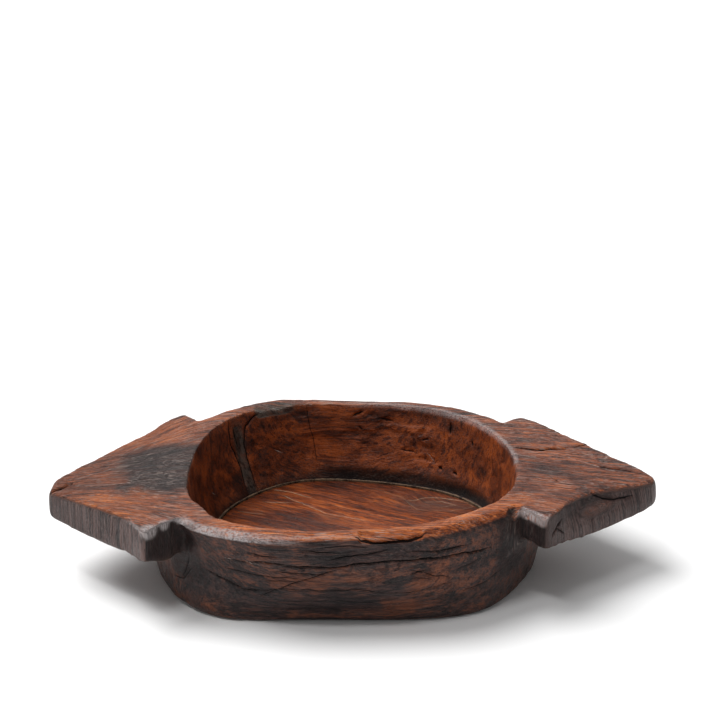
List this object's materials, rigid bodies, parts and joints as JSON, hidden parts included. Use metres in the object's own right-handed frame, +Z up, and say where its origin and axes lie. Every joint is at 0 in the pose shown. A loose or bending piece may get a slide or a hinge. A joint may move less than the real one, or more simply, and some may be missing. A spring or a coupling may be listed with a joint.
{
  "type": "carved wooden bowl with wing handles",
  "caption": "Shallow round wooden bowl carved from a thick block, with a flat pointed wing handle at each end and V notches beside the rim.",
  "frame": {"origin": "middle of the bounding box in X and Y, at the height of the surface that the bowl stands on", "axes": "+X along the grain from the left handle's tip to the right handle's tip, +Y from the front wall to the back wall, +Z up"},
  "size_m": [0.51, 0.3069, 0.0881],
  "materials": {
    "carved_hardwood": "oiled and waxed dark hardwood, worn and cracked",
    "floor_hardwood": "oiled reddish hardwood, satin",
    "pale_filler": "hard wax filler, matt",
    "grey_filler": "grey-green filler, matt"
  },
  "bodies": {
    "root": {"bowl_body": "carved_hardwood", "floor_board": "floor_hardwood", "floor_seam_filler": "pale_filler", "wall_split_filler": "grey_filler"}
  },
  "joints": []
}
